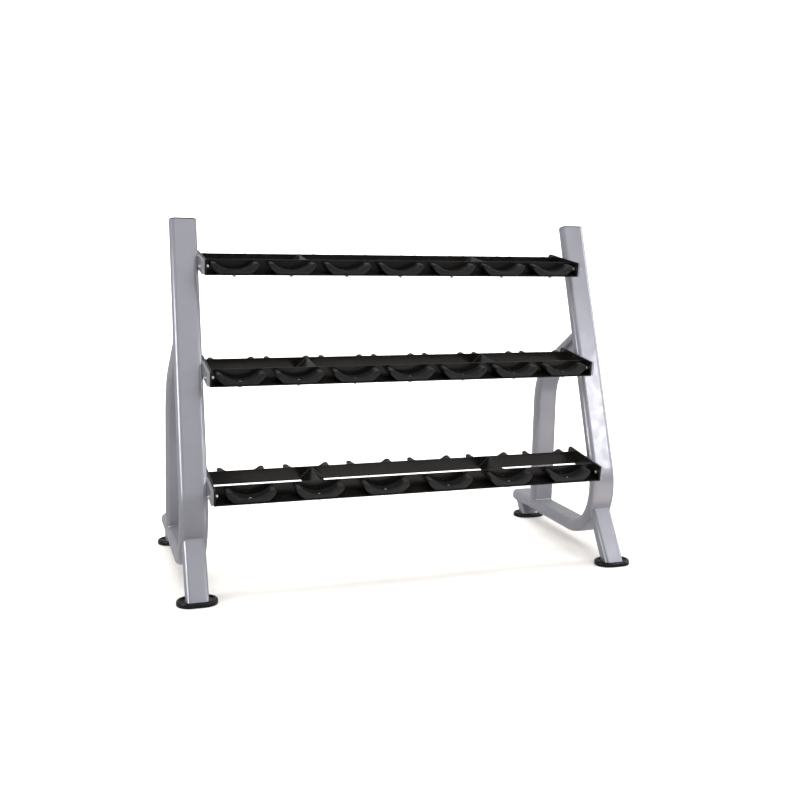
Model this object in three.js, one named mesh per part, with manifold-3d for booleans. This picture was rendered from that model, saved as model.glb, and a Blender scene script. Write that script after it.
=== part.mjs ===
// Three-tier dumbbell rack with saddles: two bent-tube side frames carry three tilted steel trays,
// and moulded saddles stand in pairs on the two rails of every tray.
// Millimetres. +X runs along the rack, -Y is the front, +Z is up. The origin is on the floor, in the
// middle of the footprint.
import * as THREE from "three";
import { mergeVertices } from "three/addons/utils/BufferGeometryUtils.js";
import Module from "manifold-3d";

const wasm = await Module();
wasm.setup();

// ---- driving dimensions ------------------------------------------------------------

const GAP = 0.3; // clearance left between pieces that touch or are welded

// side frames
const FRAME_HALF_SPACING = 800; // middle of the rack to the middle of a side frame
const TUBE_WIDTH = 100; // main tube and rear brace, along X
const TUBE_DEPTH = 50;
const TUBE_CORNER = 20;
const TUBE_WALL = 3;
const UPRIGHT_LEAN = 18.4; // degrees from the vertical, the top further back
const UPRIGHT_TOP = 1320; // height of the tube's end, on its axis
const BASE_HEIGHT = 85; // floor to the axis of the level part of the tube
const BEND_CENTRE_Y = 0; // the bend's centre is the frame's own reference in Y
const BEND_RADIUS = 210; // on the tube's axis
const BASE_END = 559; // bend centre to the tube's rear end

// rear brace: from the back of the upright down to the base
const BRACE_START_HEIGHT = 881; // where its axis would meet the upright's axis
const BRACE_CORNER_Y = 332; // where the axes of its two straight parts would cross
const BRACE_CORNER_HEIGHT = 687;
const BRACE_FOOT_Y = 362;
const BRACE_BEND_RADIUS = 220;

// legs and foot pads
const LEG_WIDTH = 80;
const LEG_DEPTH = 50;
const LEG_CORNER = 17;
const LEG_LEAN = 32.7; // degrees from the vertical, the foot further forward
const FRONT_FOOT_Y = -307;
const REAR_FOOT_SET_IN = 65; // rear foot's middle ahead of the tube's rear end
const PAD_LENGTH = 142; // along X
const PAD_WIDTH = 100;
const PAD_HEIGHT = 18;
const PAD_EDGE = 5; // rounding of the pad's rim
const PAD_POCKET = 5; // how deep the leg stands in the pad

// plastic caps on the tube ends
const CAP_THICKNESS = 5;
const CAP_EDGE = 1.6;
const CAP_PLUG = 16; // length of the plug inside the tube
const CAP_FIT = 0.4; // between the plug and the tube's wall

// trays
const TRAY_TILT = 7.4; // degrees, the rear rail higher
const RAIL_FLANGE = 64;
const RAIL_WEB = 51;
const RAIL_THICKNESS = 4;
const RAIL_SPACING = 153; // between the two webs
const END_PLATE_HEIGHT = 57;
const END_PLATE_THICKNESS = 6;
const END_PLATE_CORNER = 20; // rear top corner
const CROSS_SHARE = 0.481; // cross angles' place, as a share of the tray's half length
const CROSS_LEG = 60;
const CROSS_THICKNESS = 4;
const CROSS_TOP = 50; // ridge of the cross angles above the underside of the rails
const TIERS = [
  { name: "bottom", height: 334, reach: 97, saddles: 6, endRoom: 123.5 },
  { name: "middle", height: 734, reach: 134, saddles: 7, endRoom: 103 },
  { name: "top", height: 1122, reach: 127, saddles: 7, endRoom: 103 },
]; // the front edge's height and how far it is ahead of the upright's axis, the saddles in a row,
// and the room from the end plate's inner face to the middle of the outermost saddle

// brackets welded to the uprights, one behind each end plate
const BRACKET_THICKNESS = 7.7; // between the upright's side and the end plate
const BRACKET_INSET = 2.5; // how far the bracket stays inside the end plate's outline
const BRACKET_TAIL = 62; // how far it runs behind the upright's axis

// saddles
const SADDLE_SET_BACK = 2.5; // behind the rail's free edge
const SADDLE_BASE_WIDTH = 116;
const SADDLE_WIDTH = 172;
const SADDLE_HEIGHT = 40.5;
const SADDLE_SHOULDER = 31; // height of the widest point
const SADDLE_TIP_OUTER = 78; // middle to the outer end of the horn's top
const SADDLE_TIP_INNER = 68; // middle to where the hollow starts
const SADDLE_FLOOR = 14; // thickness under the middle of the hollow

// ---- numbers that follow from them ------------------------------------------------------------

const LEAN = THREE.MathUtils.degToRad(UPRIGHT_LEAN);
const TILT = THREE.MathUtils.degToRad(TRAY_TILT);
const BEND_CENTRE_Z = BASE_HEIGHT + BEND_RADIUS;
const TUBE_INNER_SIDE = FRAME_HALF_SPACING - TUBE_WIDTH / 2;
const TRAY_HALF_LENGTH = TUBE_INNER_SIDE - BRACKET_THICKNESS - GAP;
const TRAY_DEPTH = 2 * RAIL_FLANGE + RAIL_SPACING;
const CROSS_POSITION = CROSS_SHARE * TRAY_HALF_LENGTH;
const SADDLE_DEPTH = RAIL_FLANGE - RAIL_THICKNESS - SADDLE_SET_BACK - GAP;
const FRONT_EDGE = FRONT_FOOT_Y - PAD_WIDTH / 2;
const REAR_FOOT_Y = BASE_END - REAR_FOOT_SET_IN;
const REAR_EDGE = BASE_END + CAP_THICKNESS;
const CENTRE_SHIFT = -(FRONT_EDGE + REAR_EDGE) / 2;

// point on the upright's axis at a given height
function uprightY(z) {
  const tangentY = BEND_CENTRE_Y - BEND_RADIUS * Math.cos(LEAN);
  const tangentZ = BEND_CENTRE_Z + BEND_RADIUS * Math.sin(LEAN);
  return tangentY + (z - tangentZ) * Math.tan(LEAN);
}

// ---- geometry helpers ------------------------------------------------------------

// closed three.js geometry to a solid
function toSolid(geometry) {
  const bare = geometry.clone();
  bare.deleteAttribute("normal");
  bare.deleteAttribute("uv");
  const merged = mergeVertices(bare, 1e-4);
  const vertProperties = new Float32Array(merged.attributes.position.array);
  const triVerts = new Uint32Array(merged.index.array);
  const solid = new wasm.Manifold(new wasm.Mesh({ numProp: 3, vertProperties, triVerts }));
  if (solid.volume() > 0) {
    return solid;
  }
  for (let i = 0; i < triVerts.length; i += 3) {
    const swap = triVerts[i];
    triVerts[i] = triVerts[i + 1];
    triVerts[i + 1] = swap;
  }
  return new wasm.Manifold(new wasm.Mesh({ numProp: 3, vertProperties, triVerts }));
}

// solid back to a three.js geometry
function toGeometry(solid) {
  const mesh = solid.getMesh();
  const geometry = new THREE.BufferGeometry();
  geometry.setAttribute("position", new THREE.BufferAttribute(new Float32Array(mesh.vertProperties), 3));
  geometry.setIndex(new THREE.BufferAttribute(new Uint32Array(mesh.triVerts), 1));
  geometry.computeVertexNormals();
  return geometry;
}

// rectangle with round corners, centred on the origin
function roundedRectangle(width, height, corner, Kind = THREE.Shape) {
  const shape = new Kind();
  const x = width / 2;
  const y = height / 2;
  shape.moveTo(x, -y + corner);
  shape.lineTo(x, y - corner);
  shape.absarc(x - corner, y - corner, corner, 0, Math.PI / 2);
  shape.lineTo(-x + corner, y);
  shape.absarc(-x + corner, y - corner, corner, Math.PI / 2, Math.PI);
  shape.lineTo(-x, -y + corner);
  shape.absarc(-x + corner, -y + corner, corner, Math.PI, 1.5 * Math.PI);
  shape.lineTo(x - corner, -y);
  shape.absarc(x - corner, -y + corner, corner, 1.5 * Math.PI, 2 * Math.PI);
  return shape;
}

// path through stations that each give a point and a direction: only the bends get many of them
class StationPath extends THREE.Curve {
  constructor(stations) {
    super();
    this.stations = stations;
  }

  station(u) {
    return this.stations[Math.round(u * (this.stations.length - 1))];
  }

  getPoint(u) {
    return this.station(u).point.clone();
  }

  getPointAt(u) {
    return this.station(u).point.clone();
  }

  getTangentAt(u) {
    return this.station(u).direction.clone();
  }
}

// path in the YZ plane through the given [y, z] corners, each inner corner rounded to a radius
function bentPath(corners, radii, stepsPerBend) {
  const points = corners.map(([y, z]) => new THREE.Vector3(0, y, z));
  const stations = [];
  let direction = points[1].clone().sub(points[0]).normalize();
  stations.push({ point: points[0], direction });
  for (let i = 1; i < points.length - 1; i += 1) {
    const next = points[i + 1].clone().sub(points[i]).normalize();
    const turn = direction.angleTo(next);
    const reach = radii[i - 1] * Math.tan(turn / 2);
    const start = points[i].clone().addScaledVector(direction, -reach);
    const axis = direction.clone().cross(next).normalize();
    const toCentre = axis.clone().cross(direction);
    const centre = start.clone().addScaledVector(toCentre, radii[i - 1]);
    const spoke = start.clone().sub(centre);
    for (let k = 0; k <= stepsPerBend; k += 1) {
      const angle = (turn * k) / stepsPerBend;
      stations.push({
        point: spoke.clone().applyAxisAngle(axis, angle).add(centre),
        direction: direction.clone().applyAxisAngle(axis, angle),
      });
    }
    direction = next;
  }
  stations.push({ point: points[points.length - 1], direction });
  return new StationPath(stations);
}

// tube section swept along a path; without a wall it is solid
function sweep(path, width, depth, corner, wall) {
  const shape = roundedRectangle(width, depth, corner);
  if (wall > 0) {
    shape.holes.push(roundedRectangle(width - 2 * wall, depth - 2 * wall, corner - wall, THREE.Path));
  }
  const steps = path.stations.length - 1;
  return new THREE.ExtrudeGeometry(shape, { extrudePath: path, steps, curveSegments: 2 });
}

// outline drawn in X and Z, given thickness along +Y
function extrudeAlongY(shape, depth, curveSegments = 6) {
  const geometry = new THREE.ExtrudeGeometry(shape, { depth, bevelEnabled: false, curveSegments });
  geometry.rotateX(Math.PI / 2);
  geometry.translate(0, depth, 0);
  return geometry;
}

// outline drawn in Y and Z, given thickness along +X
function extrudeAlongX(shape, depth, curveSegments = 6) {
  const geometry = new THREE.ExtrudeGeometry(shape, { depth, bevelEnabled: false, curveSegments });
  geometry.rotateX(Math.PI / 2);
  geometry.rotateZ(Math.PI / 2);
  return geometry;
}

function polygon(points) {
  return new THREE.Shape(points.map(([x, y]) => new THREE.Vector2(x, y)));
}

// ---- materials ------------------------------------------------------------

const SILVER = { color: 0x9b9ba8, roughness: 0.32, metalness: 0.55 };
const BLACK_PAINT = { color: 0x17171a, roughness: 0.25, metalness: 0.1 };
const SADDLE_PLASTIC = { color: 0x3a3a3d, roughness: 0.6, metalness: 0 };
const BLACK_RUBBER = { color: 0x121212, roughness: 0.7, metalness: 0 };

const rack = new THREE.Group();
rack.position.y = CENTRE_SHIFT;

function addMesh(parent, name, geometry, look) {
  const mesh = new THREE.Mesh(geometry, new THREE.MeshStandardMaterial(look));
  mesh.name = name;
  parent.add(mesh);
  return mesh;
}

// ---- side frames ------------------------------------------------------------

// the axis of the main tube: down the upright, round the bend and level to the rear end
const topPoint = [uprightY(UPRIGHT_TOP), UPRIGHT_TOP];
const bendCorner = [uprightY(BASE_HEIGHT), BASE_HEIGHT];
const mainPath = bentPath([topPoint, bendCorner, [BASE_END, BASE_HEIGHT]], [BEND_RADIUS], 12);
const mainTube = toSolid(sweep(mainPath, TUBE_WIDTH, TUBE_DEPTH, TUBE_CORNER, TUBE_WALL));
const mainCutter = toSolid(
  sweep(mainPath, TUBE_WIDTH + 2 * GAP, TUBE_DEPTH + 2 * GAP, TUBE_CORNER + GAP, 0),
);

// the rear brace starts inside the upright and ends inside the base, and is cut back to both
const braceStart = [uprightY(BRACE_START_HEIGHT), BRACE_START_HEIGHT];
const braceCorner = [BRACE_CORNER_Y, BRACE_CORNER_HEIGHT];
const bracePath = bentPath([braceStart, braceCorner, [BRACE_FOOT_Y, BASE_HEIGHT]], [BRACE_BEND_RADIUS], 8);
const braceWhole = toSolid(sweep(bracePath, TUBE_WIDTH, TUBE_DEPTH, TUBE_CORNER, TUBE_WALL));
const braceTube = braceWhole.subtract(mainCutter);

// a leg leans forward from the main tube to its foot pad; both ends are cut to what they meet
const legSlope = Math.tan(THREE.MathUtils.degToRad(LEG_LEAN));
const legFootHeight = PAD_HEIGHT - PAD_POCKET + GAP;

// height at which a leg's axis meets the axis of the bend
function frontLegTop() {
  const reach = FRONT_FOOT_Y + (BEND_CENTRE_Z - legFootHeight) * legSlope;
  const a = 1 + legSlope * legSlope;
  const b = -2 * reach * legSlope;
  const c = reach * reach - BEND_RADIUS * BEND_RADIUS;
  const drop = (-b + Math.sqrt(b * b - 4 * a * c)) / (2 * a);
  return BEND_CENTRE_Z - drop;
}

function legSolid(footY, topHeight) {
  const low = [footY - 40 * legSlope, legFootHeight - 40];
  const high = [footY + (topHeight - legFootHeight) * legSlope, topHeight];
  const path = bentPath([low, high], [], 1);
  const tube = toSolid(sweep(path, LEG_WIDTH, LEG_DEPTH, LEG_CORNER, TUBE_WALL));
  const floorBlock = new THREE.BoxGeometry(400, 400, 400);
  floorBlock.translate(0, footY, legFootHeight - 200);
  return tube.subtract(mainCutter).subtract(toSolid(floorBlock));
}

const frontLeg = legSolid(FRONT_FOOT_Y, frontLegTop());
const rearLeg = legSolid(REAR_FOOT_Y, BASE_HEIGHT - 7);

// oval pad with a rounded rim and a shallow pocket for the leg
function padSolid() {
  const outline = roundedRectangle(
    PAD_LENGTH - 2 * PAD_EDGE,
    PAD_WIDTH - 2 * PAD_EDGE,
    PAD_WIDTH / 2 - PAD_EDGE - 0.01,
  );
  const body = new THREE.ExtrudeGeometry(outline, {
    depth: PAD_HEIGHT - 2 * PAD_EDGE,
    bevelThickness: PAD_EDGE,
    bevelSize: PAD_EDGE,
    bevelSegments: 2,
    curveSegments: 4,
  });
  body.translate(0, 0, PAD_EDGE);
  const footDepth = LEG_DEPTH / Math.cos(THREE.MathUtils.degToRad(LEG_LEAN));
  const slopeRun = PAD_POCKET * legSlope;
  const pocketOutline = roundedRectangle(
    LEG_WIDTH + 2 * GAP + 2,
    footDepth + slopeRun + 2 * GAP + 2,
    LEG_CORNER,
  );
  const pocket = new THREE.ExtrudeGeometry(pocketOutline, {
    depth: PAD_HEIGHT,
    bevelEnabled: false,
    curveSegments: 2,
  });
  pocket.translate(0, slopeRun / 2, PAD_HEIGHT - PAD_POCKET);
  return toSolid(body).subtract(toSolid(pocket));
}

const padGeometry = toGeometry(padSolid());

// cap with a plug, its outer face away from the tube along +Z
function capGeometry() {
  const outline = roundedRectangle(
    TUBE_WIDTH - 2 * CAP_EDGE,
    TUBE_DEPTH - 2 * CAP_EDGE,
    TUBE_CORNER - CAP_EDGE,
  );
  const head = new THREE.ExtrudeGeometry(outline, {
    depth: CAP_THICKNESS - GAP - 2 * CAP_EDGE,
    bevelThickness: CAP_EDGE,
    bevelSize: CAP_EDGE,
    bevelSegments: 1,
    curveSegments: 2,
  });
  head.translate(0, 0, GAP + CAP_EDGE);
  const inner = TUBE_WALL + CAP_FIT;
  const plugOutline = roundedRectangle(
    TUBE_WIDTH - 2 * inner,
    TUBE_DEPTH - 2 * inner,
    TUBE_CORNER - inner,
  );
  const plug = new THREE.ExtrudeGeometry(plugOutline, {
    depth: CAP_PLUG + 1,
    bevelEnabled: false,
    curveSegments: 2,
  });
  plug.translate(0, 0, GAP + 1 - CAP_PLUG);
  return toGeometry(toSolid(head).add(toSolid(plug)));
}

const cap = capGeometry();

// bracket plate behind a tray's end plate, in the tray's own tilted frame
function bracketShape(reach) {
  const low = BRACKET_INSET;
  const high = END_PLATE_HEIGHT - BRACKET_INSET;
  const rear = reach + BRACKET_TAIL;
  const corner = END_PLATE_CORNER - BRACKET_INSET;
  const shape = new THREE.Shape();
  shape.moveTo(low, low);
  shape.lineTo(rear, low);
  shape.lineTo(rear, high - corner);
  shape.absarc(rear - corner, high - corner, corner, 0, Math.PI / 2);
  shape.lineTo(low, high);
  shape.closePath();
  return shape;
}

const bracketOuter = TUBE_INNER_SIDE + TUBE_WALL / 2;
const bracketInner = TUBE_INNER_SIDE - BRACKET_THICKNESS;

function trayPose(tier) {
  const pose = new THREE.Matrix4().makeRotationX(TILT);
  pose.setPosition(0, uprightY(tier.height) - tier.reach, tier.height);
  return pose;
}

for (const [sideName, side] of [["left", -1], ["right", 1]]) {
  const frame = new THREE.Group();
  frame.position.x = side * FRAME_HALF_SPACING;
  rack.add(frame);

  let tube = mainTube;
  for (const tier of TIERS) {
    const plate = extrudeAlongX(bracketShape(tier.reach), bracketOuter - bracketInner, 2);
    plate.translate(side > 0 ? bracketInner : -bracketOuter, 0, 0);
    plate.applyMatrix4(trayPose(tier));
    plate.translate(-frame.position.x, 0, 0);
    tube = tube.add(toSolid(plate));
  }
  addMesh(frame, `${sideName}_frame_tube`, toGeometry(tube), SILVER);
  addMesh(frame, `${sideName}_rear_brace`, toGeometry(braceTube), SILVER);
  addMesh(frame, `${sideName}_front_leg`, toGeometry(frontLeg), SILVER);
  addMesh(frame, `${sideName}_rear_leg`, toGeometry(rearLeg), SILVER);

  const frontPad = addMesh(frame, `${sideName}_front_pad`, padGeometry, BLACK_RUBBER);
  frontPad.position.set(0, FRONT_FOOT_Y, 0);
  const rearPad = addMesh(frame, `${sideName}_rear_pad`, padGeometry, BLACK_RUBBER);
  rearPad.position.set(0, REAR_FOOT_Y, 0);

  const topCap = addMesh(frame, `${sideName}_top_cap`, cap, BLACK_RUBBER);
  topCap.position.set(0, topPoint[0], topPoint[1]);
  topCap.rotation.x = -LEAN;
  const tailCap = addMesh(frame, `${sideName}_tail_cap`, cap, BLACK_RUBBER);
  tailCap.position.set(0, BASE_END, BASE_HEIGHT);
  tailCap.rotation.x = -Math.PI / 2;
}

// ---- trays ------------------------------------------------------------

// angle rail: a flange that points to the free edge and an upright web
function railShape(freeEdge, webFace) {
  const inwards = Math.sign(webFace - freeEdge);
  return polygon([
    [freeEdge, 0],
    [webFace, 0],
    [webFace, RAIL_WEB],
    [webFace - inwards * RAIL_THICKNESS, RAIL_WEB],
    [webFace - inwards * RAIL_THICKNESS, RAIL_THICKNESS],
    [freeEdge, RAIL_THICKNESS],
  ]);
}

function endPlateShape() {
  const shape = new THREE.Shape();
  shape.moveTo(0, 0);
  shape.lineTo(TRAY_DEPTH, 0);
  shape.lineTo(TRAY_DEPTH, END_PLATE_HEIGHT - END_PLATE_CORNER);
  shape.absarc(
    TRAY_DEPTH - END_PLATE_CORNER,
    END_PLATE_HEIGHT - END_PLATE_CORNER,
    END_PLATE_CORNER,
    0,
    Math.PI / 2,
  );
  shape.lineTo(0, END_PLATE_HEIGHT);
  shape.closePath();
  return shape;
}

// cross angle with its ridge upwards
function crossShape() {
  const fall = CROSS_LEG * Math.SQRT1_2;
  const step = CROSS_THICKNESS * Math.SQRT1_2;
  return polygon([
    [0, CROSS_TOP],
    [-fall, CROSS_TOP - fall],
    [-fall + step, CROSS_TOP - fall - step],
    [0, CROSS_TOP - 2 * step],
    [fall - step, CROSS_TOP - fall - step],
    [fall, CROSS_TOP - fall],
  ]);
}

function traySolid() {
  const railLength = 2 * (TRAY_HALF_LENGTH - END_PLATE_THICKNESS / 2);
  const frontRail = extrudeAlongX(railShape(0, RAIL_FLANGE), railLength);
  const rearRail = extrudeAlongX(railShape(TRAY_DEPTH, TRAY_DEPTH - RAIL_FLANGE), railLength);
  frontRail.translate(-railLength / 2, 0, 0);
  rearRail.translate(-railLength / 2, 0, 0);
  let solid = toSolid(frontRail).add(toSolid(rearRail));
  for (const start of [-TRAY_HALF_LENGTH, TRAY_HALF_LENGTH - END_PLATE_THICKNESS]) {
    const plate = extrudeAlongX(endPlateShape(), END_PLATE_THICKNESS, 3);
    plate.translate(start, 0, 0);
    solid = solid.add(toSolid(plate));
  }
  const overlap = RAIL_THICKNESS / 2;
  for (const x of [-CROSS_POSITION, CROSS_POSITION]) {
    const angle = extrudeAlongY(crossShape(), RAIL_SPACING + 2 * overlap);
    angle.translate(x, RAIL_FLANGE - overlap, 0);
    solid = solid.add(toSolid(angle));
  }
  return solid;
}

const trayGeometry = toGeometry(traySolid());

// ---- saddles ------------------------------------------------------------

// crescent with a flat base, two horns and a round hollow between them
function saddleShape() {
  const base = SADDLE_BASE_WIDTH / 2;
  const shoulder = SADDLE_WIDTH / 2;
  const tipDrop = 2;
  const chord = SADDLE_TIP_INNER;
  const sag = SADDLE_HEIGHT - tipDrop - SADDLE_FLOOR;
  const radius = (chord * chord + sag * sag) / (2 * sag);
  const half = Math.asin(chord / radius);
  const centreZ = SADDLE_FLOOR + radius;
  const shape = new THREE.Shape();
  shape.moveTo(-base, 0);
  shape.lineTo(base, 0);
  shape.lineTo(shoulder, SADDLE_SHOULDER);
  shape.quadraticCurveTo(shoulder + 1, SADDLE_HEIGHT - 2, SADDLE_TIP_OUTER, SADDLE_HEIGHT);
  shape.lineTo(SADDLE_TIP_INNER, SADDLE_HEIGHT - tipDrop);
  shape.absarc(0, centreZ, radius, -Math.PI / 2 + half, -Math.PI / 2 - half, true);
  shape.lineTo(-SADDLE_TIP_OUTER, SADDLE_HEIGHT);
  shape.quadraticCurveTo(-shoulder - 1, SADDLE_HEIGHT - 2, -shoulder, SADDLE_SHOULDER);
  shape.closePath();
  return shape;
}

const saddleGeometry = toGeometry(toSolid(extrudeAlongY(saddleShape(), SADDLE_DEPTH, 4)));

for (const tier of TIERS) {
  const tray = new THREE.Group();
  tray.applyMatrix4(trayPose(tier));
  rack.add(tray);
  addMesh(tray, `${tier.name}_tray`, trayGeometry, BLACK_PAINT);
  for (const [rowName, start] of [
    ["front", SADDLE_SET_BACK],
    ["rear", TRAY_DEPTH - SADDLE_SET_BACK - SADDLE_DEPTH],
  ]) {
    const outermost = TRAY_HALF_LENGTH - END_PLATE_THICKNESS - tier.endRoom;
    for (let i = 0; i < tier.saddles; i += 1) {
      const name = `${tier.name}_${rowName}_saddle_${i + 1}`;
      const saddle = addMesh(tray, name, saddleGeometry, SADDLE_PLASTIC);
      const x = THREE.MathUtils.lerp(-outermost, outermost, i / (tier.saddles - 1));
      saddle.position.set(x, start, RAIL_THICKNESS + GAP);
    }
  }
}

rack.updateMatrixWorld(true);

export default rack;
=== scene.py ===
"""Dumbbell rack with saddles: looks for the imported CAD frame. Metres, -Y is the front, +Z is up."""

import math

import bmesh
import bpy
from mathutils import Matrix, Vector
from mathutils.bvhtree import BVHTree


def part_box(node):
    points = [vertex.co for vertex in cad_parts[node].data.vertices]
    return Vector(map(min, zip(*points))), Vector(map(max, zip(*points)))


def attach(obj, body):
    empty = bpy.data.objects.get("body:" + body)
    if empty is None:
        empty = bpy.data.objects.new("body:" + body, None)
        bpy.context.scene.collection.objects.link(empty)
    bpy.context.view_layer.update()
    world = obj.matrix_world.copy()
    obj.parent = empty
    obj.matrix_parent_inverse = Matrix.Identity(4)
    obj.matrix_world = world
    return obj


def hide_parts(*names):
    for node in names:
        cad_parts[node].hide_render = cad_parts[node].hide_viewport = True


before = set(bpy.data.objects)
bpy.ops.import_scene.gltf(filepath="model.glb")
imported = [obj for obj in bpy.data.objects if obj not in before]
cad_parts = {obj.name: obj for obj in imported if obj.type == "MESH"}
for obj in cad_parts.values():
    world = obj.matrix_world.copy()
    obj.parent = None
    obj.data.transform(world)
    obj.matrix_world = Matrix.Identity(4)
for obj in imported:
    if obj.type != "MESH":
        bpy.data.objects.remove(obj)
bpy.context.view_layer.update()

MM = 0.001
SIDES = (("left", -1), ("right", 1))
TIERS = ("bottom", "middle", "top")
ROWS = ("front", "rear")

# sizes that the CAD source sets, in millimetres and degrees
TUBE_WIDTH, TUBE_DEPTH, TUBE_CORNER = 100, 50, 20
LEG_WIDTH, LEG_DEPTH, LEG_CORNER, LEG_LEAN = 80, 50, 17, 32.7
PAD_LENGTH, PAD_WIDTH, PAD_HEIGHT, PAD_POCKET = 142, 100, 18, 5
GAP = 0.3
TRAY_TILT = 7.4
TRAY_DEPTH, TRAY_HALF_LENGTH = 281, 742
END_PLATE_HEIGHT, END_PLATE_THICKNESS = 57, 6
RAIL_FLANGE, RAIL_THICKNESS = 64, 4
CROSS_SHARE, CROSS_LEG, CROSS_TOP = 0.481, 60, 50
BRACKET_INSET = 2.5
TUBE_INNER_SIDE = 750
SADDLE_DEPTH, SADDLE_SET_BACK = 57.2, 2.5
BRACE_CORNER = (332, 687)
BRACE_FOOT = (362, 85)
BRACE_START = (-26.4, 881)
UPRIGHT_LEAN = 18.4
CENTRE_SHIFT = -103.5  # from the CAD source's working Y to the rack's own

SHARP_ANGLE = math.radians(38)  # edges over this stay sharp

scene = bpy.context.scene


# ---- mesh helpers -----------------------------------------------------------------------------


def mark_sharp_edges(bm):
    for edge in bm.edges:
        edge.smooth = edge.is_manifold and edge.calc_face_angle(0.0) < SHARP_ANGLE


def piece(name, bm, materials):
    """Turns a bmesh into a named object that rides on the rack."""
    bmesh.ops.recalc_face_normals(bm, faces=bm.faces)
    for face in bm.faces:
        face.smooth = True
    mark_sharp_edges(bm)
    mesh = bpy.data.meshes.new(name)
    bm.to_mesh(mesh)
    bm.free()
    for material in materials:
        mesh.materials.append(material)
    return place(name, mesh, Matrix.Identity(4))


def place(name, mesh, matrix):
    """Object that shows a mesh at a place on the rack."""
    obj = bpy.data.objects.new(name, mesh)
    scene.collection.objects.link(obj)
    obj.matrix_world = matrix
    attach(obj, "root")
    return obj


def loft(bm, rings, closed=False, material_index=0):
    """Skin through rings of equal count. Open lofts get an end face each, closed ones join up."""
    verts = [[bm.verts.new(p) for p in ring] for ring in rings]
    count = len(verts[0])
    pairs = list(zip(verts, verts[1:]))
    if closed:
        pairs.append((verts[-1], verts[0]))
    for low, high in pairs:
        for i in range(count):
            j = (i + 1) % count
            face = bm.faces.new((low[i], low[j], high[j], high[i]))
            face.material_index = material_index
    if not closed:
        bm.faces.new(list(reversed(verts[0]))).material_index = material_index
        bm.faces.new(verts[-1]).material_index = material_index


def rounded_rectangle(width, height, corner, steps):
    """Points of a rounded rectangle in its own plane, counter-clockwise."""
    points = []
    for cx, cy, start in ((1, 1, 0), (-1, 1, 90), (-1, -1, 180), (1, -1, 270)):
        x, y = cx * (width / 2 - corner), cy * (height / 2 - corner)
        for k in range(steps + 1):
            angle = math.radians(start + 90 * k / steps)
            points.append((x + corner * math.cos(angle), y + corner * math.sin(angle)))
    return points


def bezier(p0, p1, p2, p3, steps):
    """Points along a cubic curve, without its last point."""
    points = []
    for k in range(steps):
        t = k / steps
        s = 1 - t
        weighted = list(zip((s**3, 3 * s * s * t, 3 * s * t * t, t**3), (p0, p1, p2, p3)))
        points.append(tuple(sum(w * p[i] for w, p in weighted) for i in (0, 1)))
    return points


def resample(points, step, closed):
    """Evenly spaced points along a polyline, with the distance of each."""
    line = list(points) + ([points[0]] if closed else [])
    lengths = [(b - a).length for a, b in zip(line, line[1:])]
    total = sum(lengths)
    count = max(4, round(total / step))
    out, index, walked = [], 0, 0.0
    for k in range(count if closed else count + 1):
        target = total * k / count
        while index < len(lengths) - 1 and walked + lengths[index] < target:
            walked += lengths[index]
            index += 1
        share = (target - walked) / max(lengths[index], 1e-9)
        out.append((line[index].lerp(line[index + 1], min(share, 1.0)), target))
    return out


BEAD_RIPPLE_PITCH = 3.6 * MM
BEAD_RIPPLE = 0.13  # share of the bead's radius
BEAD_STEP = 0.9 * MM
BEAD_SIDES = 8
BEAD_END_SIZE = 0.45  # share of the radius at a bead's open end
BEAD_END_RUN = 1.5  # radii from an open end to the full size


def bead(bm, points, axis, radius, closed):
    """Weld bead with the ripples of its passes, along a polyline. Axis is across the bead's path."""
    spots = resample(points, BEAD_STEP, closed)
    rings = []
    for i, (point, distance) in enumerate(spots):
        before = spots[i - 1][0] if closed or i > 0 else point
        after = spots[(i + 1) % len(spots)][0] if closed or i < len(spots) - 1 else point
        tangent = (after - before).normalized()
        across = (axis - tangent * axis.dot(tangent)).normalized()
        other = tangent.cross(across)
        size = radius * (1 + BEAD_RIPPLE * math.sin(2 * math.pi * distance / BEAD_RIPPLE_PITCH))
        if not closed:
            end = min(distance, spots[-1][1] - distance)
            size *= BEAD_END_SIZE + (1 - BEAD_END_SIZE) * min(1.0, end / (BEAD_END_RUN * radius))
        angles = [2 * math.pi * k / BEAD_SIDES for k in range(BEAD_SIDES)]
        rings.append([point + size * (math.cos(a) * across + math.sin(a) * other) for a in angles])
    loft(bm, rings, closed)


def surface(node):
    """Search tree of a CAD node's faces."""
    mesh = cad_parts[node].data
    return BVHTree.FromPolygons([v.co for v in mesh.vertices], [p.vertices for p in mesh.polygons])


JOINT_CORNER_STEPS = 12


def joint_loop(start, direction, width, depth, corner, tree):
    """Closed line where a tube of that section, going that way, meets a surface."""
    across = Vector((1, 0, 0))
    up = direction.cross(across).normalized()
    points = []
    for u, v in rounded_rectangle(width * MM, depth * MM, corner * MM, JOINT_CORNER_STEPS):
        hit = tree.ray_cast(start + across * u + up * v, direction)[0]
        if hit is not None:
            points.append(hit)
    return points


# ---- materials --------------------------------------------------------------------------------


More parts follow.
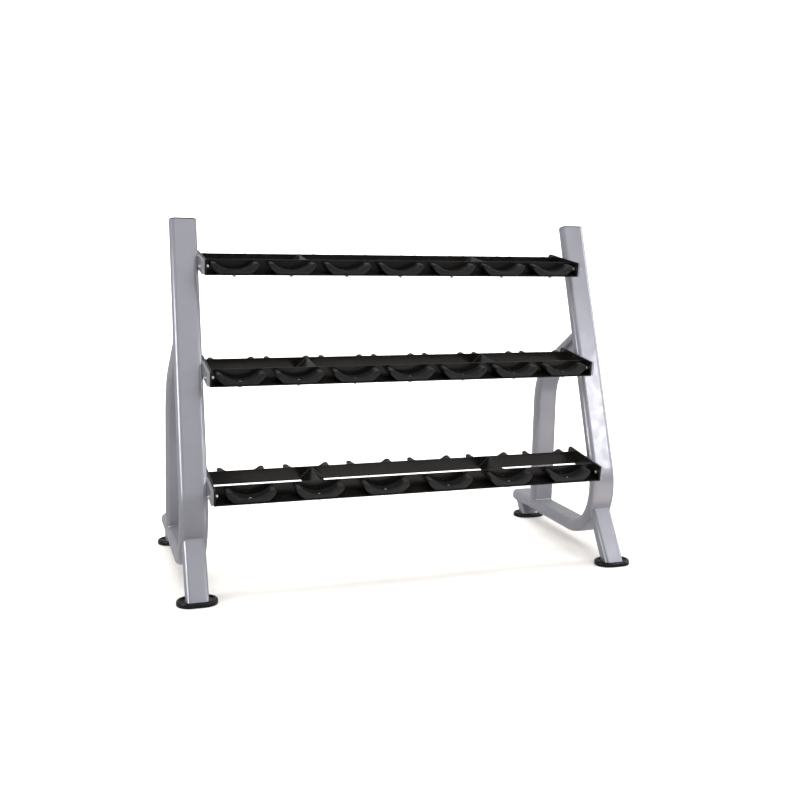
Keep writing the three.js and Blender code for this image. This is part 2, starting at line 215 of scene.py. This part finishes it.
class Nodes:
    """Small builder for one material's node tree."""

    def __init__(self, name):
        self.material = bpy.data.materials.new(name)
        self.material.use_nodes = True
        self.tree = self.material.node_tree
        self.shader = self.tree.nodes["Principled BSDF"]
        self.position = self.node("ShaderNodeNewGeometry").outputs["Position"]

    def node(self, kind, **settings):
        made = self.tree.nodes.new(kind)
        for key, value in settings.items():
            setattr(made, key, value)
        return made

    def link(self, source, target):
        self.tree.links.new(source, target)

    def set(self, **values):
        for key, value in values.items():
            self.shader.inputs[key.replace("_", " ")].default_value = value

    def noise(self, scale, detail=2.0, roughness=0.5, stretch=None):
        made = self.node("ShaderNodeTexNoise")
        made.inputs["Scale"].default_value = scale
        made.inputs["Detail"].default_value = detail
        made.inputs["Roughness"].default_value = roughness
        source = self.position
        if stretch:
            mapping = self.node("ShaderNodeMapping")
            mapping.inputs["Scale"].default_value = stretch
            self.link(source, mapping.inputs["Vector"])
            source = mapping.outputs["Vector"]
        self.link(source, made.inputs["Vector"])
        return made.outputs["Fac"]

    def ramp(self, source, low, high, from_low=0.35, from_high=0.65):
        """Spreads a 0 to 1 value between two numbers or two colours."""
        if isinstance(low, tuple):
            made = self.node("ShaderNodeValToRGB")
            first, last = made.color_ramp.elements
            first.position, last.position = from_low, from_high
            first.color, last.color = (*low, 1), (*high, 1)
            self.link(source, made.inputs["Fac"])
            return made.outputs["Color"]
        made = self.node("ShaderNodeMapRange")
        limits = {"From Min": from_low, "From Max": from_high, "To Min": low, "To Max": high}
        for key, value in limits.items():
            made.inputs[key].default_value = value
        self.link(source, made.inputs["Value"])
        return made.outputs["Result"]

    def mix(self, factor, first, second):
        made = self.node("ShaderNodeMix", data_type="RGBA")
        self.link(factor, made.inputs["Factor"])
        for value, socket in ((first, made.inputs[6]), (second, made.inputs[7])):
            if isinstance(value, tuple):
                socket.default_value = (*value, 1)
            else:
                self.link(value, socket)
        return made.outputs[2]

    def multiply(self, first, second):
        made = self.node("ShaderNodeMath", operation="MULTIPLY")
        for value, socket in ((first, made.inputs[0]), (second, made.inputs[1])):
            if isinstance(value, (int, float)):
                socket.default_value = value
            else:
                self.link(value, socket)
        return made.outputs[0]

    def facing_up(self):
        """1 on surfaces that face up, where dust settles."""
        split = self.node("ShaderNodeSeparateXYZ")
        self.link(self.node("ShaderNodeNewGeometry").outputs["Normal"], split.inputs["Vector"])
        return self.ramp(split.outputs["Z"], 0.0, 1.0, 0.75, 0.98)

    def bumps(self, *layers):
        """Chains bump layers, each (height, strength, distance)."""
        last = None
        for height, strength, distance in layers:
            made = self.node("ShaderNodeBump")
            made.inputs["Strength"].default_value = strength
            made.inputs["Distance"].default_value = distance
            self.link(height, made.inputs["Height"])
            if last:
                self.link(last, made.inputs["Normal"])
            last = made.outputs["Normal"]
        self.link(last, self.shader.inputs["Normal"])


def silver_paint(name, dark, light, rough_low, rough_high):
    """Metallic powder coat: fine flake, slow tone changes and a slight orange peel."""
    m = Nodes(name)
    flake = m.ramp(m.noise(2600, 1.0), dark, light, 0.38, 0.62)
    slow = m.ramp(m.noise(4.5, 3.0), 0.0, 0.30, 0.3, 0.7)
    dust = m.multiply(m.facing_up(), m.ramp(m.noise(38, 4.0), 0.0, 0.35, 0.4, 0.75))
    toned = m.mix(slow, flake, tuple(c * 0.86 for c in dark))
    m.link(m.mix(dust, toned, (0.42, 0.41, 0.39)), m.shader.inputs["Base Color"])
    m.link(m.ramp(m.noise(24, 4.0), rough_low, rough_high), m.shader.inputs["Roughness"])
    m.set(Metallic=0.55, Coat_Weight=0.7, Coat_Roughness=0.06)
    m.bumps((m.noise(230, 2.0), 0.10, 0.0004), (m.noise(1500, 1.0), 0.06, 0.0001))
    return m.material


def black_paint(name, shine=0.30, rough_low=0.17, rough_high=0.28):
    """Gloss black powder coat with orange peel, faint scuffs and a little settled dust."""
    m = Nodes(name)
    # The warm brown cast of these tones is a painted reflection of the warm floor, which the paint does not
    # mirror.
    tone = m.ramp(m.noise(5, 3.0), (0.0036, 0.0034, 0.0033), (0.0082, 0.0072, 0.0062), 0.3, 0.7)
    scuffs = m.ramp(m.noise(60, 5.0, 0.6, (1.0, 6.0, 6.0)), 0.0, 0.35, 0.64, 0.76)
    worn = m.mix(scuffs, tone, (0.018, 0.017, 0.016))
    dust = m.multiply(m.facing_up(), m.ramp(m.noise(30, 5.0), 0.0, 0.20, 0.45, 0.8))
    m.link(m.mix(dust, worn, (0.04, 0.038, 0.036)), m.shader.inputs["Base Color"])
    m.link(m.ramp(m.noise(14, 4.0), rough_low, rough_high), m.shader.inputs["Roughness"])
    m.set(Specular_IOR_Level=shine)
    m.bumps((m.noise(260, 2.0), 0.10, 0.0004), (m.noise(1300, 1.0), 0.05, 0.0001))
    return m.material


def saddle_plastic(name):
    """Moulded plastic with a fine spark texture and lighter rub marks."""
    m = Nodes(name)
    tone = m.ramp(m.noise(40, 3.0), (0.0085, 0.0088, 0.0095), (0.0130, 0.0132, 0.0140), 0.3, 0.7)
    rubs = m.ramp(m.noise(120, 5.0, 0.65, (1.0, 5.0, 1.0)), 0.0, 0.40, 0.62, 0.76)
    rubbed = m.mix(rubs, tone, (0.024, 0.024, 0.025))
    dust = m.multiply(m.facing_up(), m.ramp(m.noise(70, 4.0), 0.0, 0.12, 0.45, 0.8))
    m.link(m.mix(dust, rubbed, (0.036, 0.035, 0.034)), m.shader.inputs["Base Color"])
    m.link(m.ramp(m.noise(55, 3.0), 0.28, 0.42), m.shader.inputs["Roughness"])
    m.set(Specular_IOR_Level=0.22)
    m.bumps((m.noise(1100, 3.0, 0.6), 0.25, 0.0002), (m.noise(90, 2.0), 0.05, 0.0006))
    return m.material


def black_rubber(name, rough_low=0.28, rough_high=0.45):
    """Black moulded rubber or plastic with a soft sheen, mould texture and grey dust."""
    m = Nodes(name)
    tone = m.ramp(m.noise(50, 3.0), (0.0028, 0.0028, 0.0030), (0.0060, 0.0057, 0.0055), 0.3, 0.7)
    dust = m.ramp(m.noise(160, 6.0, 0.65), 0.0, 0.25, 0.60, 0.82)
    m.link(m.mix(dust, tone, (0.020, 0.019, 0.018)), m.shader.inputs["Base Color"])
    m.link(m.ramp(m.noise(80, 3.0), rough_low, rough_high), m.shader.inputs["Roughness"])
    m.set(Specular_IOR_Level=0.35)
    m.bumps((m.noise(700, 3.0, 0.6), 0.22, 0.0003), (m.noise(60, 2.0), 0.10, 0.0008))
    return m.material


def zinc(name):
    """Bright zinc plate with dull blotches."""
    m = Nodes(name)
    tone = m.ramp(m.noise(300, 4.0), (0.60, 0.59, 0.56), (0.82, 0.82, 0.80), 0.3, 0.7)
    m.link(tone, m.shader.inputs["Base Color"])
    m.link(m.ramp(m.noise(450, 3.0), 0.16, 0.36), m.shader.inputs["Roughness"])
    m.set(Metallic=1.0)
    m.bumps((m.noise(1200, 2.0), 0.12, 0.0002))
    return m.material


SILVER_DARK = (0.285, 0.285, 0.325)
SILVER_LIGHT = (0.360, 0.360, 0.405)
frame_paint = silver_paint("frame_paint", SILVER_DARK, SILVER_LIGHT, 0.30, 0.42)
# The welds get the frame's silver made lighter: painted highlight for the glints on the beads. Their low
# roughness is real shine.
weld_paint_painted_highlight = silver_paint("weld_paint_painted_highlight", (0.38, 0.38, 0.41), (0.50, 0.50, 0.53), 0.08, 0.18)
tray_paint = black_paint("tray_paint")
tray_weld_paint = black_paint("tray_weld_paint", 1.0, 0.08, 0.16)
saddle_look = saddle_plastic("saddle_plastic")
foot_rubber = black_rubber("foot_rubber", 0.20, 0.34)
cap_plastic = black_rubber("cap_plastic", 0.30, 0.45)
bolt_zinc = zinc("bolt_zinc")


# ---- CAD nodes that stay ------------------------------------------------------------------------


def dress(node, material, edge):
    """Gives a CAD node its finish, small round edges and smooth shading."""
    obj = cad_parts[node]
    mesh = obj.data
    mesh.materials.clear()
    mesh.materials.append(material)
    if "custom_normal" in mesh.attributes:
        mesh.attributes.remove(mesh.attributes["custom_normal"])
    mesh.polygons.foreach_set("material_index", [0] * len(mesh.polygons))
    mesh.polygons.foreach_set("use_smooth", [True] * len(mesh.polygons))
    weld = obj.modifiers.new("weld", "WELD")
    weld.merge_threshold = 0.01 * MM
    bevel = obj.modifiers.new("round_edges", "BEVEL")
    bevel.limit_method = "ANGLE"
    bevel.angle_limit = SHARP_ANGLE
    bevel.width = edge
    bevel.segments = 2
    bevel.use_clamp_overlap = True
    normals = obj.modifiers.new("normals", "WEIGHTED_NORMAL")
    normals.keep_sharp = True


for side, _sign in SIDES:
    for part in ("frame_tube", "rear_brace", "front_leg", "rear_leg"):
        dress(f"{side}_{part}", frame_paint, 0.5 * MM)
    for part in ("top_cap", "tail_cap"):
        dress(f"{side}_{part}", cap_plastic, 0.5 * MM)
for tier in TIERS:
    dress(f"{tier}_tray", tray_paint, 0.9 * MM)


# ---- foot pads ----------------------------------------------------------------------------------

# inset from the outline and height, from the floor over the rim to the recess that the leg stands in
PAD_PROFILE = (
    (3.0, 0.0), (1.2, 0.5), (0.3, 2.0), (0.0, 4.5), (0.0, 9.5), (0.4, 12.5), (1.6, 15.2), (3.6, 17.1),
    (6.2, 18.0), (8.8, 17.9), (11.0, 17.0), (12.6, 15.4), (13.4, 13.9), (14.0, 13.1), (15.5, 13.0),
)
PAD_STEPS = 20


def pad_mesh():
    bm = bmesh.new()
    rings = []
    for inset, height in PAD_PROFILE:
        outline = rounded_rectangle(
            PAD_LENGTH - 2 * inset, PAD_WIDTH - 2 * inset, PAD_WIDTH / 2 - inset - 0.01, PAD_STEPS
        )
        rings.append([Vector((x * MM, y * MM, height * MM)) for x, y in outline])
    loft(bm, rings)
    return bm


pad = piece("pad_template", pad_mesh(), [foot_rubber])
pad_shape = pad.data
bpy.data.objects.remove(pad)
for side, _sign in SIDES:
    for end in ROWS:
        node = f"{side}_{end}_pad"
        low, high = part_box(node)
        middle = (low + high) / 2
        at = Matrix.Translation((middle.x, middle.y, 0))
        foot = place(f"{node}_rubber", pad_shape, at)
        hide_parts(node)


# ---- trays' own frame -----------------------------------------------------------------------------


def tray_matrix(tier):
    """From a tray's own frame, with its origin at the middle of the front lower edge, to the rack's."""
    low, _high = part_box(f"{tier}_tray")
    tilt = math.radians(TRAY_TILT)
    lip = Vector((0, low.y + END_PLATE_HEIGHT * MM * math.sin(tilt), low.z))
    return Matrix.Translation(lip) @ Matrix.Rotation(tilt, 4, "X")


TRAY_MATRIX = {tier: tray_matrix(tier) for tier in TIERS}


# ---- saddles --------------------------------------------------------------------------------------

SADDLE_BASE, SADDLE_SHOULDER = 58, (86, 31)
SADDLE_TIP_TOP, SADDLE_TIP_INNER = (78, 40.5), (68, 38.2)
SADDLE_FLOOR = 14
SADDLE_ARC_STEPS = 44
# depth from the front face, inset of the outline, and how far the hollow lies under the front rim
SADDLE_STATIONS = (
    (0.0, 2.0, 0.0), (0.35, 1.1, 0.0), (1.0, 0.4, 0.0), (2.2, 0.0, 0.0), (6.6, 0.0, 0.0),
    (7.8, 0.0, 0.35), (8.9, 0.0, 1.3), (10.0, 0.0, 2.6), (11.2, 0.0, 3.6), (12.8, 0.0, 4.0),
    (20.0, 0.0, 4.0), (28.6, 0.0, 4.0), (38.0, 0.0, 4.0), (47.0, 0.0, 3.9), (51.0, 0.0, 3.4),
    (54.0, 0.0, 2.4), (55.6, 0.35, 1.8), (56.6, 1.0, 1.4), (57.2, 2.2, 1.2),
)
COUNTERBORE_RADIUS, COUNTERBORE_FLOOR, BOLT_HOLE_RADIUS = 9.5, 4.5, 4.6


def saddle_outline():
    """Right half of the crescent from the middle of its base to the middle of its hollow, then mirrored."""
    base = [(SADDLE_BASE * k / 6, 0.0) for k in range(6)]
    side = bezier((SADDLE_BASE - 1.5, 0), (70, 8), (84, 21), SADDLE_SHOULDER, 12)
    horn = bezier(SADDLE_SHOULDER, (87.2, 37.5), (84.5, 40.5), SADDLE_TIP_TOP, 8)
    tip = bezier(SADDLE_TIP_TOP, (74.0, 40.5), (71.0, 40.0), SADDLE_TIP_INNER, 5)
    chord, top = SADDLE_TIP_INNER
    sag = top - SADDLE_FLOOR
    radius = (chord * chord + sag * sag) / (2 * sag)
    half = math.asin(chord / radius)
    arc = []
    for k in range(SADDLE_ARC_STEPS // 2 + 1):
        angle = half * (1 - 2 * k / SADDLE_ARC_STEPS)
        arc.append((radius * math.sin(angle), SADDLE_FLOOR + radius * (1 - math.cos(angle))))
    right = base + side + horn + tip + arc
    left = [(-x, z) for x, z in reversed(right[1:-1])]
    return right + left


def inset_outline(points, inset):
    """Points moved inwards, across the outline."""
    count = len(points)
    out = []
    for i, (x, z) in enumerate(points):
        ax, az = points[i - 1]
        bx, bz = points[(i + 1) % count]
        length = math.hypot(bx - ax, bz - az)
        out.append((x - (bz - az) / length * inset, z + (bx - ax) / length * inset))
    return out


def saddle_mesh():
    outline = saddle_outline()
    arc_start = SADDLE_TIP_INNER[0]
    bm = bmesh.new()
    rings = []
    for depth, inset, drop in SADDLE_STATIONS:
        ring = []
        for (x, z), (x0, z0) in zip(inset_outline(outline, inset), outline):
            hollow = abs(x0) <= arc_start and z0 >= SADDLE_FLOOR - 0.1
            share = max(0.0, min(1.0, (arc_start + 1.0 - abs(x0)) / 12.0)) if hollow else 0.0
            share = share * share * (3 - 2 * share)
            ring.append(Vector((x * MM, depth * MM, (z - drop * share) * MM)))
        rings.append(ring)
    loft(bm, rings)
    return bm


def bore(radius, low, high, steps=32):
    """Upright cylinder through the middle of the saddle, used as a cutter."""
    angles = [2 * math.pi * k / steps for k in range(steps)]
    centre = SADDLE_DEPTH / 2
    bm = bmesh.new()
    rings = []
    for z in (low, high):
        points = [(radius * math.cos(a), centre + radius * math.sin(a)) for a in angles]
        rings.append([Vector((x * MM, y * MM, z * MM)) for x, y in points])
    loft(bm, rings)
    return bm


def cut(obj, cutters):
    """Cuts closed shapes out of an object and returns its new mesh, with sharp edges marked again."""
    for cutter in cutters:
        modifier = obj.modifiers.new("cut", "BOOLEAN")
        modifier.operation = "DIFFERENCE"
        modifier.solver = "EXACT"
        modifier.object = cutter
    bpy.context.view_layer.update()
    graph = bpy.context.evaluated_depsgraph_get()
    made = bpy.data.meshes.new_from_object(obj.evaluated_get(graph))
    bm = bmesh.new()
    bm.from_mesh(made)
    mark_sharp_edges(bm)
    bm.to_mesh(made)
    bm.free()
    for gone in (obj, *cutters):
        bpy.data.objects.remove(gone)
    return made


saddle_shape = cut(
    piece("saddle_template", saddle_mesh(), [saddle_look]),
    [
        piece("counterbore", bore(COUNTERBORE_RADIUS, COUNTERBORE_FLOOR, 30), [saddle_look]),
        piece("bolt_hole", bore(BOLT_HOLE_RADIUS, -5, 10), [saddle_look]),
    ],
)


# ---- bolts ----------------------------------------------------------------------------------------

BOLT_STEPS = 36
BOLT_RADIUS = 4.0
HEX_FLATS = 13.0


def circle(radius, height):
    """Ring of a turned shape, about Z."""
    angles = [2 * math.pi * k / BOLT_STEPS for k in range(BOLT_STEPS)]
    points = [(radius * math.cos(a), radius * math.sin(a)) for a in angles]
    return [Vector((x * MM, y * MM, height * MM)) for x, y in points]


def hexagon(height, limit):
    """Ring of a hexagon whose corners are cut back to a circle."""
    points = []
    for k in range(BOLT_STEPS):
        angle = 2 * math.pi * k / BOLT_STEPS
        turned = (angle + math.pi / 6) % (math.pi / 3) - math.pi / 6
        radius = min(HEX_FLATS / 2 / math.cos(turned), limit) * MM
        points.append(Vector((radius * math.cos(angle), radius * math.sin(angle), height * MM)))
    return points


def hexagon_block(low, high):
    """Rings of a hexagon nut or head with chamfered ends."""
    corner = HEX_FLATS / 2 / math.cos(math.pi / 6)
    return [
        hexagon(low, corner - 0.9),
        hexagon(low + 0.5, corner),
        hexagon(high - 0.5, corner),
        hexagon(high, corner - 0.9),
    ]


def saddle_bolt_mesh():
    """Socket head in the counterbore, with a washer and a nut under the rail's flange."""
    under = -(RAIL_THICKNESS + GAP)
    top = COUNTERBORE_FLOOR
    rings = [circle(3.3, under - 12), circle(BOLT_RADIUS, under - 11.3), circle(BOLT_RADIUS, under - 8.1)]
    rings += hexagon_block(under - 8.1, under - 1.7)
    rings += [circle(8.3, under - 1.6), circle(8.6, under - 1.3), circle(8.6, under - 0.1)]
    rings += [circle(BOLT_RADIUS, under - 0.1), circle(BOLT_RADIUS, top)]
    rings += [circle(8.4, top + 0.05), circle(8.4, top + 1.3)]
    rings += [circle(6.4, top + 1.4), circle(6.5, top + 4.6), circle(6.0, top + 5.6)]
    rings += [circle(4.9, top + 6.0), circle(3.4, top + 6.0), circle(3.2, top + 3.2)]
    bm = bmesh.new()
    loft(bm, rings)
    return bm


GRIP = 15.5  # end plate and bracket together
WASHER_THICKNESS = 2.0


def tray_bolt_mesh():
    """Hexagon head on a black washer inside the tray, nut outside the bracket, along +Z."""
    bm = bmesh.new()
    head = [circle(3.0, -10.4)] + hexagon_block(-10.0, -WASHER_THICKNESS)
    shank = [circle(BOLT_RADIUS, -WASHER_THICKNESS), circle(BOLT_RADIUS, GRIP)]
    nut = [circle(8.4, GRIP + 0.1), circle(8.4, GRIP + 1.5)] + hexagon_block(GRIP + 1.6, GRIP + 8.0)
    end = [circle(BOLT_RADIUS, GRIP + 8.0), circle(BOLT_RADIUS, GRIP + 11.0), circle(3.3, GRIP + 11.7)]
    loft(bm, head + shank + nut + end)
    washer = [circle(10.4, -WASHER_THICKNESS + 0.1), circle(11.0, -WASHER_THICKNESS + 0.6)]
    washer += [circle(11.0, -0.6), circle(10.4, -0.1)]
    loft(bm, washer, material_index=1)
    return bm


def shared_mesh(name, bm, materials):
    """Mesh for pieces that are placed many times."""
    template = piece(name, bm, materials)
    mesh = template.data
    bpy.data.objects.remove(template)
    return mesh


saddle_bolt_shape = shared_mesh("saddle_bolt", saddle_bolt_mesh(), [bolt_zinc])
tray_bolt_shape = shared_mesh("tray_bolt", tray_bolt_mesh(), [bolt_zinc, cap_plastic])

for node in sorted(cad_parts):
    if "_saddle_" not in node:
        continue
    tier, row, _word, number = node.split("_")
    low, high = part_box(node)
    y = SADDLE_SET_BACK if row == "front" else TRAY_DEPTH - SADDLE_SET_BACK - SADDLE_DEPTH
    local = Matrix.Translation(((low.x + high.x) / 2, y * MM, (RAIL_THICKNESS + GAP) * MM))
    if row == "rear":
        turn = Matrix.Translation((0, SADDLE_DEPTH * MM, 0)) @ Matrix.Rotation(math.pi, 4, "Z")
        local = local @ turn
    at = TRAY_MATRIX[tier] @ local
    saddle = place(f"{node}_moulded", saddle_shape, at)
    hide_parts(node)
    bolt_at = at @ Matrix.Translation((0, SADDLE_DEPTH / 2 * MM, 0))
    place(f"{tier}_{row}_saddle_bolt_{number}", saddle_bolt_shape, bolt_at)

TRAY_BOLT_Y, TRAY_BOLT_Z = 22, 29  # from the tray's front lower edge
for tier in TIERS:
    for side, sign in SIDES:
        x = sign * (TRAY_HALF_LENGTH - END_PLATE_THICKNESS)
        local = Matrix.Translation((x * MM, TRAY_BOLT_Y * MM, TRAY_BOLT_Z * MM))
        outwards = Matrix.Rotation(sign * math.pi / 2, 4, "Y")
        place(f"{tier}_tray_{side}_bolt", tray_bolt_shape, TRAY_MATRIX[tier] @ local @ outwards)


# ---- weld beads -------------------------------------------------------------------------------------


def frame_point(side_x, y, z):
    """Point of a side frame from the CAD source's working Y and Z, in millimetres."""
    return Vector((side_x, (y + CENTRE_SHIFT) * MM, z * MM))


BEAD_RADIUS = 2.3 * MM
SECTION_INSET = 1.6  # keeps the search inside the rounded sides of a tube of the same width

for side, sign in SIDES:
    tube = surface(f"{side}_frame_tube")
    lean = math.radians(LEG_LEAN)
    leg_way = Vector((0, math.sin(lean), math.cos(lean)))
    pad_low, pad_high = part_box(f"{side}_front_pad")
    side_x = (pad_low.x + pad_high.x) / 2
    for end in ROWS:
        low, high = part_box(f"{side}_{end}_pad")
        foot = Vector((side_x, (low.y + high.y) / 2, (PAD_HEIGHT - PAD_POCKET) * MM))
        loop = joint_loop(foot, leg_way, LEG_WIDTH, LEG_DEPTH, LEG_CORNER, tube)
        bm = bmesh.new()
        bead(bm, loop, leg_way, BEAD_RADIUS, True)
        piece(f"{side}_{end}_leg_weld", bm, [weld_paint_painted_highlight])
    corner = frame_point(side_x, *BRACE_CORNER)
    for word, far in (("top", BRACE_START), ("foot", BRACE_FOOT)):
        way = (frame_point(side_x, *far) - corner).normalized()
        width, depth = TUBE_WIDTH - 2 * SECTION_INSET, TUBE_DEPTH - SECTION_INSET
        loop = joint_loop(corner, way, width, depth, TUBE_CORNER - SECTION_INSET, tube)
        bm = bmesh.new()
        bead(bm, loop, way, BEAD_RADIUS, True)
        piece(f"{side}_brace_{word}_weld", bm, [weld_paint_painted_highlight])

# bracket beads, in the groove between the bracket and the tube's rounded sides and over its top edge
BRACKET_BEAD_RADIUS = 2.8 * MM
BRACKET_GROOVE = 15.5  # from the upright's axis
BRACKET_BEAD_DEPTH = 1.4  # from the upright's flat side

lean = math.radians(UPRIGHT_LEAN)
UP_THE_TUBE = Vector((0, math.sin(lean), math.cos(lean)))
ACROSS_THE_TUBE = Vector((0, math.cos(lean), -math.sin(lean)))
for side, sign in SIDES:
    cap_low, cap_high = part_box(f"{side}_top_cap")
    axis_top = (cap_low + cap_high) / 2
    for tier in TIERS:
        to_tray = TRAY_MATRIX[tier].inverted()
        top_height = (to_tray @ axis_top).z
        climb = (to_tray.to_3x3() @ UP_THE_TUBE).z
        ends = []
        for height in (BRACKET_INSET, END_PLATE_HEIGHT - BRACKET_INSET):
            at = axis_top + UP_THE_TUBE * ((height * MM - top_height) / climb)
            at.x = sign * (TUBE_INNER_SIDE + BRACKET_BEAD_DEPTH) * MM
            ends.append(at)
        front = ACROSS_THE_TUBE * -BRACKET_GROOVE * MM
        line = [ends[0] + front, ends[1] + front, ends[1] - front, ends[0] - front]
        bm = bmesh.new()
        bead(bm, line, Vector((1, 0, 0)), BRACKET_BEAD_RADIUS, False)
        piece(f"{tier}_{side}_bracket_weld", bm, [weld_paint_painted_highlight])

CROSS_BEAD_RADIUS = 2.4 * MM
for tier in TIERS:
    bm = bmesh.new()
    fall = CROSS_LEG * math.sqrt(0.5)
    for sign in (-1, 1):
        x = sign * CROSS_SHARE * TRAY_HALF_LENGTH
        for y in (RAIL_FLANGE + 0.5, TRAY_DEPTH - RAIL_FLANGE - 0.5):
            line = [(x - fall, CROSS_TOP - fall), (x, CROSS_TOP + 0.6), (x + fall, CROSS_TOP - fall)]
            points = [TRAY_MATRIX[tier] @ Vector((px * MM, y * MM, pz * MM)) for px, pz in line]
            bead(bm, points, TRAY_MATRIX[tier].to_3x3() @ Vector((0, 1, 0)), CROSS_BEAD_RADIUS, False)
    piece(f"{tier}_tray_welds", bm, [tray_weld_paint])


# ---- floor, light and camera --------------------------------------------------------------------------


FLOOR_FRONT, FLOOR_REAR, FLOOR_HALF_WIDTH = -9.0, 4.0, 12.0
SWEEP_RADIUS, BACKDROP_TOP = 3.0, 9.0
SWEEP_STEPS = 15


def studio_sweep():
    """Pale floor that curves up into a backdrop. It lights the rack but is not mirrored in it."""
    profile = [(FLOOR_FRONT, 0.0), (FLOOR_REAR, 0.0)]
    for k in range(1, SWEEP_STEPS + 1):
        angle = math.pi / 2 * k / SWEEP_STEPS
        y = FLOOR_REAR + SWEEP_RADIUS * math.sin(angle)
        profile.append((y, SWEEP_RADIUS * (1 - math.cos(angle))))
    profile.append((FLOOR_REAR + SWEEP_RADIUS, BACKDROP_TOP))
    bm = bmesh.new()
    ends = (-FLOOR_HALF_WIDTH, FLOOR_HALF_WIDTH)
    rows = [[bm.verts.new((x, y, z)) for x in ends] for y, z in profile]
    for first, second in zip(rows, rows[1:]):
        bm.faces.new((first[0], first[1], second[1], second[0]))
    for face in bm.faces:
        face.smooth = True
    mesh = bpy.data.meshes.new("floor")
    bm.to_mesh(mesh)
    bm.free()
    m = Nodes("floor_paper")
    paper = m.ramp(m.noise(3, 3.0), (0.88, 0.855, 0.82), (0.90, 0.88, 0.85))
    m.link(paper, m.shader.inputs["Base Color"])
    m.set(Roughness=0.9, Specular_IOR_Level=0.1)
    mesh.materials.append(m.material)
    obj = bpy.data.objects.new("floor", mesh)
    scene.collection.objects.link(obj)
    obj.visible_glossy = False


studio_sweep()


def softbox(name, at, target, width, height, power, colour=(1, 1, 1), in_reflections=True):
    """Rectangular light at a point, turned to a target. Sizes in metres, power in watts."""
    data = bpy.data.lights.new(name, "AREA")
    data.shape = "RECTANGLE"
    data.size, data.size_y = width, height
    data.energy = power
    data.color = colour
    obj = bpy.data.objects.new(name, data)
    obj.location = at
    obj.rotation_euler = (Vector(target) - Vector(at)).to_track_quat("-Z", "Y").to_euler()
    obj.visible_camera = False
    obj.visible_glossy = in_reflections
    scene.collection.objects.link(obj)


softbox("overhead", (0.0, -0.4, 4.4), (0, 0, 0.3), 6.0, 5.0, 200, in_reflections=False)
softbox("front", (0.9, -4.0, 4.0), (0.4, 0, 0.5), 4.6, 4.5, 34)
softbox("near_left", (-2.4, -0.7, 1.2), (-0.8, 0, 0.75), 0.6, 1.1, 15)
softbox("front_right", (2.45, -3.05, 1.95), (0.8, -0.3, 0.6), 1.2, 0.9, 24)
softbox("side_right", (4.2, -0.6, 1.8), (0.8, 0, 0.7), 1.0, 2.6, 44)
softbox("floor_glow", (1.2, -1.7, 0.02), (1.2, -1.7, 3.0), 3.4, 2.4, 20, colour=(1.0, 0.90, 0.82))
softbox("backdrop", (0.0, 2.6, 5.2), (0, 6.5, 2.0), 14.0, 2.5, 1000, in_reflections=False)

world = bpy.data.worlds.new("studio")
world.use_nodes = True
world.node_tree.nodes["Background"].inputs["Color"].default_value = (0.97, 0.98, 1.0, 1)
world.node_tree.nodes["Background"].inputs["Strength"].default_value = 0.42
scene.world = world
scene.view_settings.view_transform = "Standard"

CAMERA_AT = (-1.189, -4.005, 1.216)
CAMERA_YAW, CAMERA_PITCH, CAMERA_ROLL = 0.3390, 0.0759, -0.0126  # radians: right, down, roll
CAMERA_LENS, CAMERA_SHIFT_X, CAMERA_SHIFT_Y = 47.17, -0.0522, -0.0853


def add_camera():
    """Camera at a standing person's height, in front of the left end."""
    data = bpy.data.cameras.new("camera")
    data.lens = CAMERA_LENS
    data.sensor_width = 36.0
    data.shift_x, data.shift_y = CAMERA_SHIFT_X, CAMERA_SHIFT_Y
    ahead = Vector(
        (
            math.sin(CAMERA_YAW) * math.cos(CAMERA_PITCH),
            math.cos(CAMERA_YAW) * math.cos(CAMERA_PITCH),
            -math.sin(CAMERA_PITCH),
        )
    )
    right = Vector((math.cos(CAMERA_YAW), -math.sin(CAMERA_YAW), 0))
    down = ahead.cross(right)
    turned_right = right * math.cos(CAMERA_ROLL) + down * math.sin(CAMERA_ROLL)
    turned_down = down * math.cos(CAMERA_ROLL) - right * math.sin(CAMERA_ROLL)
    rotation = Matrix((turned_right, -turned_down, -ahead)).transposed().to_4x4()
    obj = bpy.data.objects.new("camera", data)
    obj.matrix_world = Matrix.Translation(CAMERA_AT) @ rotation
    scene.collection.objects.link(obj)
    scene.camera = obj


add_camera()
